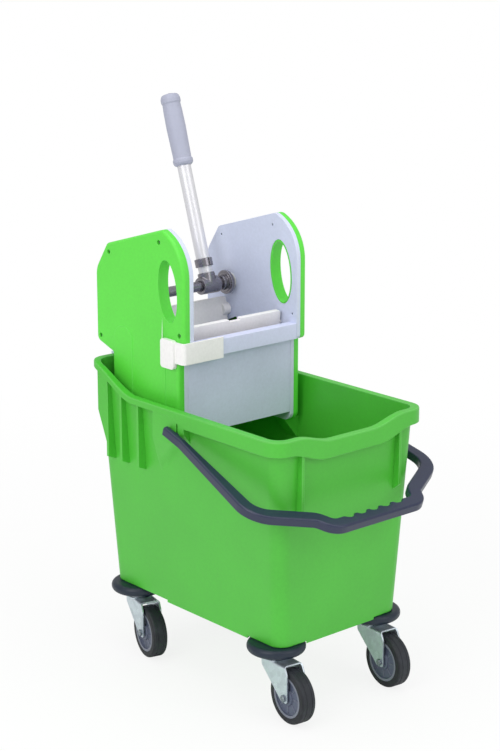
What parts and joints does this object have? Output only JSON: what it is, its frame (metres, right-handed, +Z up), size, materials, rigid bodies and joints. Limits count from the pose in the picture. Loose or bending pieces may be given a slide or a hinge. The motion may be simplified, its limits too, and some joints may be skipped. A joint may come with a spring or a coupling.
{
  "type": "mop bucket with wringer",
  "caption": "Tapered mop bucket on swivel castors with a swinging bail handle and a lift-off lever wringer whose geared jaw presses a mop.",
  "frame": {"origin": "on the floor under the middle of the object's box", "axes": "+X towards the pouring end, +Y to the left side, +Z up from the floor"},
  "size_m": [0.5114, 0.34, 0.7914],
  "materials": {
    "bucket_green": "moulded polypropylene, soft gloss",
    "cover_green": "moulded polypropylene, soft gloss",
    "liner_grey": "moulded, satin",
    "panel_grey": "moulded, satin",
    "jaw_white": "moulded, satin",
    "bail_grey": "moulded, satin",
    "bumper_grey": "moulded, satin",
    "zinc": "zinc plated pressed steel",
    "bolt_steel": "zinc plated",
    "core_grey": "moulded, satin",
    "tyre_black": "solid grey-black rubber",
    "shaft_black": "dark coated steel",
    "tube_silver": "satin tube",
    "grip_grey": "soft moulded grip",
    "spring_steel": "drawn wire",
    "bush_white": "acetal",
    "gear_white": "acetal"
  },
  "bodies": {
    "bucket": {"bucket": "bucket_green", "bumper_front_right": "bumper_grey", "castor_stem_front_right": "zinc", "bumper_front_left": "bumper_grey", "castor_stem_front_left": "zinc", "bumper_rear_right": "bumper_grey", "castor_stem_rear_right": "zinc", "bumper_rear_left": "bumper_grey", "castor_stem_rear_left": "zinc"},
    "bail": {"bail_handle": "bail_grey"},
    "wringer": {"front_panel": "panel_grey", "rear_panel": "panel_grey", "drain_grate": "panel_grey", "front_jaw": "jaw_white", "corner_clip": "jaw_white", "return_spring": "spring_steel", "casing_cover_right": "cover_green", "casing_liner_right": "liner_grey", "casing_screws_right": "bolt_steel", "shaft_bush_right": "bush_white", "casing_cover_left": "cover_green", "casing_liner_left": "liner_grey", "casing_screws_left": "bolt_steel", "shaft_bush_left": "bush_white"},
    "lever": {"cross_shaft": "shaft_black", "lever_socket": "shaft_black", "lever_collar": "shaft_black", "lever_tube": "tube_silver", "lever_grip": "grip_grey", "shaft_flange_right": "shaft_black", "pinion_right": "gear_white", "shaft_flange_left": "shaft_black", "pinion_left": "gear_white"},
    "press_jaw": {"press_jaw": "jaw_white", "jaw_gear_right": "gear_white", "jaw_gear_left": "gear_white"},
    "swivel_front_right": {"fork_front_right": "zinc", "axle_front_right": "bolt_steel"},
    "wheel_front_right": {"wheel_core_front_right": "core_grey", "tyre_front_right": "tyre_black"},
    "swivel_front_left": {"fork_front_left": "zinc", "axle_front_left": "bolt_steel"},
    "wheel_front_left": {"wheel_core_front_left": "core_grey", "tyre_front_left": "tyre_black"},
    "swivel_rear_right": {"fork_rear_right": "zinc", "axle_rear_right": "bolt_steel"},
    "wheel_rear_right": {"wheel_core_rear_right": "core_grey", "tyre_rear_right": "tyre_black"},
    "swivel_rear_left": {"fork_rear_left": "zinc", "axle_rear_left": "bolt_steel"},
    "wheel_rear_left": {"wheel_core_rear_left": "core_grey", "tyre_rear_left": "tyre_black"}
  },
  "joints": [
    {"name": "bail_lift", "type": "hinge", "parent": "bucket", "child": "bail", "pos_m": [0.001, 0, 0.3645], "axis": [0, -1, 0], "range_deg": [0, 100]},
    {"name": "wringer_lift", "type": "slide", "parent": "bucket", "child": "wringer", "axis": [0, 0, 1], "range_m": [0, 0.13]},
    {"name": "lever_press", "type": "hinge", "parent": "wringer", "child": "lever", "pos_m": [-0.158, 0, 0.52], "axis": [0, 1, 0], "range_deg": [0, 93], "stiffness_Nm_per_rad": 0.5, "springref_deg": -17.19},
    {"name": "jaw_swing", "type": "hinge", "parent": "wringer", "child": "press_jaw", "pos_m": [-0.16446, 0, 0.4785], "axis": [0, 1, 0], "range_deg": [-31, 0]},
    {"name": "swivel_turn_front_right", "type": "hinge", "parent": "bucket", "child": "swivel_front_right", "pos_m": [0.149, -0.09, 0.09], "axis": [0, 0, 1], "continuous": true},
    {"name": "wheel_spin_front_right", "type": "hinge", "parent": "swivel_front_right", "child": "wheel_front_right", "pos_m": [0.18679, -0.09397, 0.0375], "axis": [0.1045, 0.9945, 0], "continuous": true},
    {"name": "swivel_turn_front_left", "type": "hinge", "parent": "bucket", "child": "swivel_front_left", "pos_m": [0.149, 0.09, 0.09], "axis": [0, 0, 1], "continuous": true},
    {"name": "wheel_spin_front_left", "type": "hinge", "parent": "swivel_front_left", "child": "wheel_front_left", "pos_m": [0.18679, 0.08603, 0.0375], "axis": [0.1045, 0.9945, 0], "continuous": true},
    {"name": "swivel_turn_rear_right", "type": "hinge", "parent": "bucket", "child": "swivel_rear_right", "pos_m": [-0.149, -0.09, 0.09], "axis": [0, 0, 1], "continuous": true},
    {"name": "wheel_spin_rear_right", "type": "hinge", "parent": "swivel_rear_right", "child": "wheel_rear_right", "pos_m": [-0.11213, -0.09919, 0.0375], "axis": [0.2419, 0.9703, 0], "continuous": true},
    {"name": "swivel_turn_rear_left", "type": "hinge", "parent": "bucket", "child": "swivel_rear_left", "pos_m": [-0.149, 0.09, 0.09], "axis": [0, 0, 1], "continuous": true},
    {"name": "wheel_spin_rear_left", "type": "hinge", "parent": "swivel_rear_left", "child": "wheel_rear_left", "pos_m": [-0.11147, 0.08406, 0.0375], "axis": [0.1564, 0.9877, 0], "continuous": true}
  ],
  "couplings": [
    {"joint": "jaw_swing", "follows": "lever_press", "ratio": -0.33333}
  ]
}
